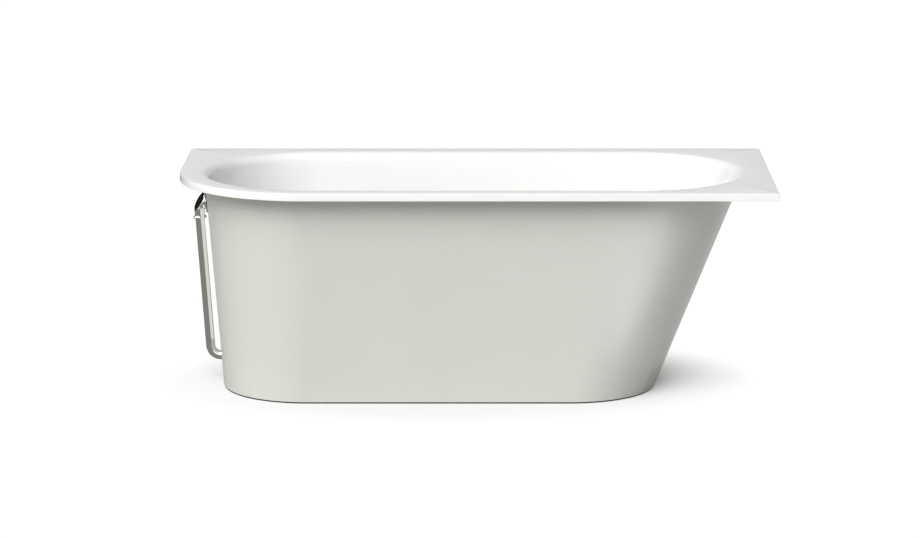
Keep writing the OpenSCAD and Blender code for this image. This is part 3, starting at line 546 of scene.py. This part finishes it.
bm = bmesh.new()
face_levels = [(skirt_low.z + skirt_soft, 0), *((level, 0) for level in skirt_levels),
               (skirt_high.z, 0)]
skirt_band(bm, face_levels + [(skirt_high.z, skirt_sheet), (skirt_low.z, skirt_sheet),
                              (skirt_low.z, skirt_soft)],
           skirt_high.y, inner=len(face_levels))
skirt = finished("skirt", bm, lacquer, glass_fibre)
shaped(skirt, "DIFFERENCE", rod(overflow_place, throat_hole, -throat_cut, throat_cut),
       rod(sleeve_place, sleeve_hole, -sleeve_cut, sleeve_cut),
       brick((shell_low.x, shell_high.y - notch_reach, lip_foot - notch_gap),
             (shell_high.x, shell_high.y + notch_reach, top)))
stands_for(skirt, "sage_panel", "skirt_panel")

shaped(bath_shell, "DIFFERENCE",
       rod(overflow_place, inner_seat, inner_seat_face - inner_seat_cut, inner_seat_face),
       rod(overflow_place, throat_hole, inner_seat_face - overlap,
           inner_seat_face + wall_cut))
stands_for(bath_shell, "acrylic_white", "basin_shell")

# Seals and bond. A strip of dark sponge rubber stands between the skirt and the floor. A
# bead of white elastic glue holds the skirt's top to the basin. The gaskets are dark rubber.
foot_seal_set, foot_seal_wide = 0.002, 0.009

rubber = new_finish(
    "rubber", Specular_IOR_Level=0.35,
    colours=((0.020, 0.021, 0.021), (0.042, 0.043, 0.043)),
    colour_noise=dict(scale=90, detail=3),
    roughness=(0.55, 0.75), rough_noise=dict(scale=40),
    relief=0.00008, relief_noise=dict(scale=900))
bond = new_finish(
    "bond", Specular_IOR_Level=0.4,
    colours=((0.70, 0.70, 0.67), (0.78, 0.78, 0.76)), colour_noise=dict(scale=12),
    roughness=(0.38, 0.52), rough_noise=dict(scale=30),
    relief=0.0006, relief_noise=dict(scale=45, detail=3))


def coat(material, *nodes):
    """Gives these solids of the model that finish."""
    for name in nodes:
        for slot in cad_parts[name].material_slots:
            slot.material = material


seal_low, seal_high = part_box("base_seal")
bm = bmesh.new()
skirt_band(bm, [(seal_low.z, foot_seal_set), (seal_high.z, foot_seal_set),
                (seal_high.z, foot_seal_set + foot_seal_wide),
                (seal_low.z, foot_seal_set + foot_seal_wide)], seal_high.y)
stands_for(finished("foot_seal", bm, rubber), "dark_rubber", "base_seal")
coat(bond, "bond_bead")
coat(rubber, "drain_washer", "drain_gasket", "trap_seal", "inlet_seal", "outlet_seal",
     "overflow_gasket", "overflow_backing", "pipe_sleeve", "plug_seal")

# Overflow, outside. A chromed brass elbow is clamped through skirt and basin. Its hood is
# cut off by one flat slope, and a neck below it holds the union bead and the pipe.
cover_turn = 0.035
throat_turn, throat_bore = 0.020, 0.017
throat_end, bore_from, bore_short = -0.02125, -0.03, 0.0005
backing_face, flange_face = 0.00114, 0.00614
flange_soft, flange_back_soft = 0.0016, 0.0004
fillet_wide, fillet_high, fillet_soft = 0.0022, 0.0024, 0.0014
hood_turn = 0.026
hood_high, hood_fall, hood_yaw = 0.0391, 0.634, 0.36
hood_edge, hood_edge_steps = 0.0012, 6
hood_sunk = 0.0008
standoff = 0.0256
neck_turn, neck_short = 0.0145, 0.010
union_drop = 0.047
bead_turn, bead_middle, bead_bore, bead_step = 0.0045, 0.0145, 0.01355, 12
slope_gap, slope_cut, slope_sides = 0.0001, 0.1, 24
turned_steps = 96

chrome = new_finish(
    "chrome", Metallic=1,
    colours=((0.80, 0.80, 0.79), (0.84, 0.84, 0.83)), colour_noise=dict(scale=8),
    roughness=(0.05, 0.11), rough_noise=dict(scale=35),
    relief=0.00001, relief_noise=dict(scale=60, detail=1))


def eased(corners, steps=4):
    """A closed outline of (radius, height) points. Where a corner has a third number, it
    is rounded over that length."""
    points = [Vector(corner[:2]) for corner in corners]
    outline = []
    for i, corner in enumerate(corners):
        here, before, after = points[i], points[i - 1], points[(i + 1) % len(points)]
        if len(corner) == 2:
            outline.append(here)
            continue
        start = here + (before - here).normalized() * corner[2]
        end = here + (after - here).normalized() * corner[2]
        for share in (step / steps for step in range(steps + 1)):
            outline.append(start * (1 - share) ** 2 + here * 2 * share * (1 - share)
                           + end * share ** 2)
    return outline


def turned(bm, outline, place, steps=turned_steps):
    """Turns a closed outline of (radius, height) points about place's own z axis. An edge
    that lies on the axis is left out."""
    verts = [bm.verts.new((radius, 0, height)) for radius, height in outline]
    edges = [bm.edges.new(pair) for pair in zip(verts, verts[1:] + verts[:1])
             if max(vert.co.x for vert in pair) > weld]
    bmesh.ops.spin(bm, geom=verts + edges, cent=(0, 0, 0), axis=(0, 0, 1), angle=math.tau,
                   steps=steps, use_merge=True, use_duplicate=False)
    bmesh.ops.remove_doubles(bm, verts=bm.verts, dist=weld)
    bmesh.ops.transform(bm, matrix=place, verts=bm.verts)


def hood_slope(x, y):
    """The hood's sloping top at x, y in the overflow's own axes, turned to the front."""
    return hood_high - hood_fall * (x + hood_turn) + hood_yaw * y


def hood_ring(bm, radius, drop=0.0, level=None):
    """A ring round the hood, at a level or that far under its slope."""
    return loop(bm, [overflow_place @ Vector(
        (x, y, hood_slope(x, y) - drop if level is None else level))
        for x, y in circle(0, 0, radius, turned_steps)])


bm = bmesh.new()
hood_rings = [hood_ring(bm, hood_turn, level=backing_face + hood_sunk)]
for t in quarter(hood_edge_steps):
    hood_rings.append(hood_ring(bm, hood_turn - hood_edge * (1 - math.cos(t)),
                                drop=hood_edge * (1 - math.sin(t))))
skin(bm, hood_rings)
fill(bm, hood_rings[0])
fill(bm, hood_rings[-1])
elbow = finished("elbow", bm, chrome, sharp=40)

bm = bmesh.new()
turned(bm, eased([(0, backing_face), (cover_turn, backing_face, flange_back_soft),
                  (cover_turn, flange_face, flange_soft),
                  (hood_turn + fillet_wide, flange_face, fillet_soft),
                  (hood_turn - overlap, flange_face + fillet_high),
                  (0, flange_face + fillet_high)]), overflow_place)
flange = finished("flange", bm, chrome)
throat = shaped(rod(overflow_place, throat_turn, throat_end, backing_face + overlap,
                    turned_steps), "DIFFERENCE",
                rod(overflow_place, throat_bore, bore_from, backing_face - bore_short,
                    turned_steps))
neck_place = (overflow_place @ Matrix.Translation((-union_drop, 0, standoff))
              @ Matrix.Rotation(math.radians(90), 4, "Y"))
slope_place = (overflow_place @ Matrix.Translation((0, 0, hood_slope(0, 0) - slope_gap))
               @ Vector((hood_fall, -hood_yaw, 1)).to_track_quat("Z", "Y")
               .to_matrix().to_4x4())
neck = shaped(rod(neck_place, neck_turn, 0, union_drop - neck_short, turned_steps),
              "DIFFERENCE", rod(slope_place, slope_cut, 0, slope_cut, slope_sides))
shaped(elbow, "UNION", flange, neck, throat)
stands_for(elbow, "chrome", "overflow_elbow")

bm = bmesh.new()
turned(bm, [(bead_middle + bead_turn * math.cos(math.radians(t)),
             bead_turn * math.sin(math.radians(t))) for t in range(-90, 91, bead_step)]
       + [(bead_bore, bead_turn), (bead_bore, -bead_turn)], neck_place)
stands_for(finished("union_bead", bm, chrome, sharp=50), "chrome", "overflow_ring")

# Pipe. A drawn brass tube, chromed, comes down beside the skirt, turns in one bend and goes
# through a rubber sleeve in the skirt to the trap behind it.
pipe_turn, pipe_wall = 0.0135, 0.0015
pipe_run_height = 0.0745
pipe_bend = 0.030
pipe_inner_end = -0.568
pipe_steps, pipe_sides = 24, 48

lean = math.radians(pipe_lean)
pipe_top = overflow_place.translation + Vector(
    (-standoff * math.cos(lean), 0, -standoff * math.sin(lean)))
bend_z = pipe_run_height + pipe_bend
tangent_z = bend_z - pipe_bend * math.sin(lean)
tangent_x = pipe_top.x + (pipe_top.z - tangent_z) * math.tan(lean)
bend_x = tangent_x + pipe_bend * math.cos(lean)
pipe_stations = ([(pipe_top.x + union_drop * math.sin(lean),
                   pipe_top.z - union_drop * math.cos(lean), lean - math.pi / 2)]
                 + [(bend_x + pipe_bend * math.sin(t), bend_z - pipe_bend * math.cos(t), t)
                    for t in ((lean - math.pi / 2) * (1 - i / pipe_steps)
                              for i in range(pipe_steps + 1))]
                 + [(pipe_inner_end, pipe_run_height, 0)])


def pipe_ring(bm, station, radius):
    """A ring of edges square to the pipe at a station."""
    x, z, turn = station
    place = (Matrix.Translation((x, basin_y, z)) @ Matrix.Rotation(-turn, 4, "Y")
             @ Matrix.Rotation(math.radians(90), 4, "Y"))
    made = bmesh.ops.create_circle(bm, segments=pipe_sides, radius=radius, matrix=place)
    return list({edge for vert in made["verts"] for edge in vert.link_edges})


bm = bmesh.new()
outer_rings = [pipe_ring(bm, station, pipe_turn) for station in pipe_stations]
inner_rings = [pipe_ring(bm, station, pipe_turn - pipe_wall) for station in pipe_stations]
skin(bm, outer_rings)
skin(bm, inner_rings)
fill(bm, outer_rings[0], inner_rings[0])
fill(bm, outer_rings[-1], inner_rings[-1])
stands_for(finished("pipe", bm, chrome), "chrome", "overflow_pipe")

# Overflow, inside. A chromed cover is screwed to the elbow's throat on a gasket, and its
# round cap stands off on three short legs, so the water goes in all round it.
cover_back, cover_thick = 0.01675, 0.005
cover_bevel, cover_soft = 0.0025, 0.0012
mouth_gap, mouth_bevel, mouth_soft = 0.0001, 0.0015, 0.0008
cap_turn, cap_thick, cap_stand = 0.027, 0.003, 0.006
cap_bevel, cap_soft, cap_back_soft = 0.0012, 0.0006, 0.0005
leg_turn, leg_out, leg_sides = 0.002, 0.004, 24
inner_place = overflow_place @ Matrix.Rotation(math.radians(180), 4, "X")
cover_face = cover_back + cover_thick
cap_back = cover_face + cap_stand
cap_face = cap_back + cap_thick

bm = bmesh.new()
turned(bm, eased([(throat_turn + mouth_gap, cover_back), (cover_turn, cover_back),
                  (cover_turn, cover_face - cover_bevel, cover_soft),
                  (cover_turn - cover_bevel, cover_face, cover_soft),
                  (throat_turn + mouth_gap + mouth_bevel, cover_face, mouth_soft),
                  (throat_turn + mouth_gap, cover_face - mouth_bevel)]), inner_place)
stands_for(finished("inner_cover", bm, chrome), "chrome", "overflow_cover")

bm = bmesh.new()
turned(bm, eased([(0, cap_back), (cap_turn, cap_back, cap_back_soft),
                  (cap_turn, cap_face - cap_bevel, cap_soft),
                  (cap_turn - cap_bevel, cap_face, cap_soft), (0, cap_face)]), inner_place)
cap = finished("inner_cap", bm, chrome)
shaped(cap, "UNION", *(rod(inner_place @ Matrix.Rotation(math.radians(turn), 4, "Z")
                           @ Matrix.Translation((throat_turn + leg_out, 0, 0)), leg_turn,
                           cover_face, cap_back + overlap, leg_sides)
                       for turn in (0, 120, 240)))
stands_for(cap, "chrome", "overflow_cap")

# Drain. A chromed flange sits in a shallow seat in the floor, its tail goes down through the
# shell, and a push plug with a domed cap closes it. The plug rides on its stem.
tail_turn, tail_bore = 0.0235, 0.021
flange_thick, flange_side = 0.0025, 0.0010
flange_slope, flange_slope_soft = 0.0020, 0.0010
bore_wide, bore_deep = 0.0022, 0.0024
drain_soft = 0.0008
plug_taper, plug_taper_soft = 0.0004, 0.0002
plug_edge_wide, plug_edge_high, plug_edge_soft = 0.0016, 0.0024, 0.0006
dome_high, dome_flat, dome_soft, dome_edge_soft = 0.0003, 0.5, 0.004, 0.0012
drain_place = Matrix.Translation((drain_middle.x, basin_y, 0))
plug_low, plug_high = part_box("plug_cap")
flange_turn = (drain_high.x - drain_low.x) / 2
plug_turn = (plug_high.x - plug_low.x) / 2

bm = bmesh.new()
flange_back = drain_high.z - flange_thick
turned(bm, eased([(tail_bore, drain_low.z), (tail_turn, drain_low.z),
                  (tail_turn, flange_back), (flange_turn, flange_back),
                  (flange_turn, drain_high.z - flange_side, drain_soft),
                  (flange_turn - flange_slope, drain_high.z, flange_slope_soft),
                  (tail_bore + bore_wide, drain_high.z, flange_slope_soft),
                  (tail_bore, drain_high.z - bore_deep, drain_soft)]), drain_place)
stands_for(finished("drain", bm, chrome), "chrome", "drain_flange")

bm = bmesh.new()
turned(bm, eased([(0, plug_low.z), (plug_turn - plug_taper, plug_low.z, plug_taper_soft),
                  (plug_turn, plug_high.z - plug_edge_high, plug_edge_soft),
                  (plug_turn - plug_edge_wide, plug_high.z - dome_high, dome_edge_soft),
                  (dome_flat * plug_turn, plug_high.z, dome_soft), (0, plug_high.z)]),
       drain_place)
stands_for(finished("plug_top", bm, chrome), "chrome", "plug_cap", body="plug")
coat(chrome, "plug_stem")

# Waste and trap. White moulded plastic: the body under the floor, the trap with the pipe's
# side inlet, its slip nuts, and the cartridge that guides the plug's stem.
plastic = new_finish(
    "plastic",
    colours=((0.80, 0.80, 0.77), (0.86, 0.86, 0.84)), colour_noise=dict(scale=14),
    roughness=(0.30, 0.44), rough_noise=dict(scale=45, detail=3),
    relief=0.00003, relief_noise=dict(scale=700))
coat(plastic, "waste_body", "trap_body", "trap_nut", "inlet_nut", "outlet_nut",
     "plug_cartridge")

# Boards. The board under the floor and the battens under the rim are raw particle board,
# glued on and left unpainted.
particle = new_finish(
    "particle_board", Specular_IOR_Level=0.25,
    colours=((0.34, 0.23, 0.13), (0.60, 0.45, 0.28)),
    colour_noise=dict(scale=260, kind="ShaderNodeTexVoronoi", stretch=(1, 0.5, 1.6)),
    roughness=(0.75, 0.92), rough_noise=dict(scale=30, detail=3),
    relief=0.0003, relief_noise=dict(scale=420, detail=4))
coat(particle, "base_board", "rim_batten_back", "rim_batten_right")

# Frame. Two folded channels of zinc-coated steel lie across under the board. Screws, nuts,
# bolts, the skirt's brackets and the wall clips have the same spangled coat.
zinc = new_finish(
    "zinc", Metallic=1,
    colours=((0.50, 0.52, 0.54), (0.66, 0.67, 0.69)),
    colour_noise=dict(scale=130, kind="ShaderNodeTexVoronoi"),
    roughness=(0.28, 0.48), rough_noise=dict(scale=60, detail=3),
    relief=0.00004, relief_noise=dict(scale=220, detail=3))
coat(zinc, "leg_rail_left", "leg_rail_right", "rail_screws", "foot_nuts", "lock_nuts",
     "skirt_bracket_left", "skirt_bracket_right", "bracket_bolts", "bracket_nuts",
     "wall_clip_back_left", "wall_clip_back_right", "wall_clip_right")

# Feet. Each is a threaded rod of zinc-coated steel with a hexagon to turn it by, in a pad of
# dark rubber with a grooved foot. Each rides on its own body, as it screws up and down.
pad_side, pad_shoulder, pad_shoulder_in, pad_collar = 0.0054, 0.0072, 0.003, 0.012
pad_foot_soft, pad_side_soft, pad_soft = 0.0008, 0.0010, 0.0012
groove_from, groove_wide, groove_slope, groove_deep = 0.007, 0.005, 0.001, 0.0012
groove_soft = 0.0004
stem_turn, stem_fit = 0.005, 0.0001
thread_pitch, thread_deep = 0.0015, 0.0006
thread_crest = (0.4, 0.6)
thread_start, thread_stop, thread_lead = 0.002, 0.001, 0.0005
hexagon_high, hexagon_turn, hexagon_sides = 0.006, 0.0085, 6
pad_steps, stem_steps = 48, 24

for corner in ("front_left", "front_right", "back_left", "back_right"):
    pad_low, pad_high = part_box("foot_pad_" + corner)
    stem_low, stem_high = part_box("foot_stem_" + corner)
    middle = (pad_low + pad_high) / 2
    foot_place = Matrix.Translation((middle.x, middle.y, 0))
    pad_turn = (pad_high.x - pad_low.x) / 2
    groove_out = pad_turn - groove_from
    groove_in = groove_out - groove_wide
    groove_top = pad_low.z + groove_deep

    bm = bmesh.new()
    turned(bm, eased([(0, pad_low.z), (groove_in, pad_low.z),
                      (groove_in + groove_slope, groove_top, groove_soft),
                      (groove_out - groove_slope, groove_top, groove_soft),
                      (groove_out, pad_low.z), (pad_turn, pad_low.z, pad_foot_soft),
                      (pad_turn, pad_low.z + pad_side, pad_side_soft),
                      (pad_turn - pad_shoulder_in, pad_low.z + pad_shoulder, pad_soft),
                      (pad_collar, pad_high.z, pad_soft), (stem_turn + stem_fit, pad_high.z),
                      (stem_turn + stem_fit, stem_low.z), (0, stem_low.z)]), foot_place,
           pad_steps)
    stands_for(finished("pad_" + corner, bm, rubber), "dark_rubber", "foot_pad_" + corner,
               body="foot_" + corner)

    bm = bmesh.new()
    thread_foot = pad_high.z + hexagon_high + thread_start
    turns = int((stem_high.z - thread_stop - thread_foot) / thread_pitch)
    thread = []
    for turn in range(turns):
        base = thread_foot + turn * thread_pitch
        thread += [(stem_turn - thread_deep, base),
                   *((stem_turn, base + share * thread_pitch) for share in thread_crest)]
    turned(bm, [(0, stem_low.z), (stem_turn, stem_low.z),
                (stem_turn, thread_foot - thread_lead), *thread,
                (stem_turn - thread_deep, stem_high.z), (0, stem_high.z)], foot_place,
           stem_steps)
    stem = finished("stem_" + corner, bm, zinc, sharp=25)
    hexagon = rod(foot_place, hexagon_turn, pad_high.z, pad_high.z + hexagon_high,
                  hexagon_sides)
    shaped(stem, "UNION", hexagon, sharp=25)
    stands_for(stem, "zinc_steel", "foot_stem_" + corner, body="foot_" + corner)
